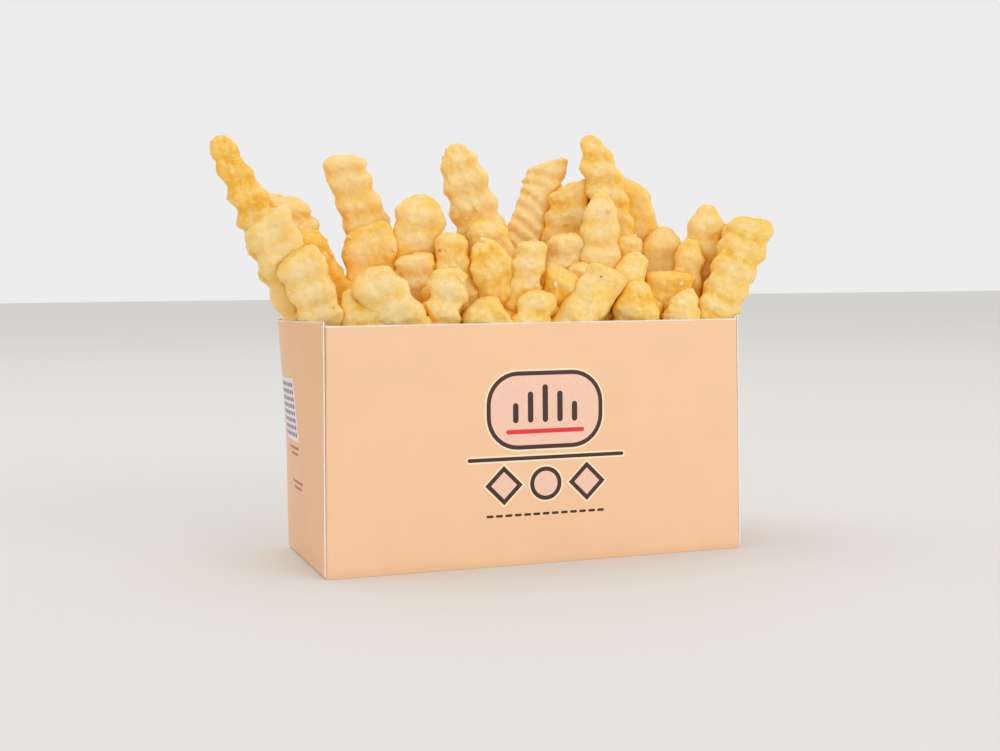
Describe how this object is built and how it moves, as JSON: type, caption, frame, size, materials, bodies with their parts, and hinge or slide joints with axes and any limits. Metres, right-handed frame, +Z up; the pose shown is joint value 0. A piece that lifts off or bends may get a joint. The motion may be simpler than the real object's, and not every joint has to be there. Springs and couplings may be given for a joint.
{
  "type": "crinkle-cut french fries in a carton",
  "caption": "Open rectangular takeaway carton heaped with crinkle-cut french fries that stand and lean out over its rim, food and box in one.",
  "frame": {"origin": "middle of the carton's flat foot, on the surface it stands on", "axes": "+X along the wide front panel, to the right seen from the front; +Y from the front panel to the back panel; +Z up, out of the carton's mouth"},
  "size_m": [0.1698, 0.0574, 0.1294],
  "materials": {
    "carton_board": "coated paperboard, satin, peach outside",
    "fried_potato": "lightly battered fried potato, matt with a faint sheen of oil"
  },
  "bodies": {
    "root": {"carton": "carton_board", "fries": "fried_potato"}
  },
  "joints": []
}
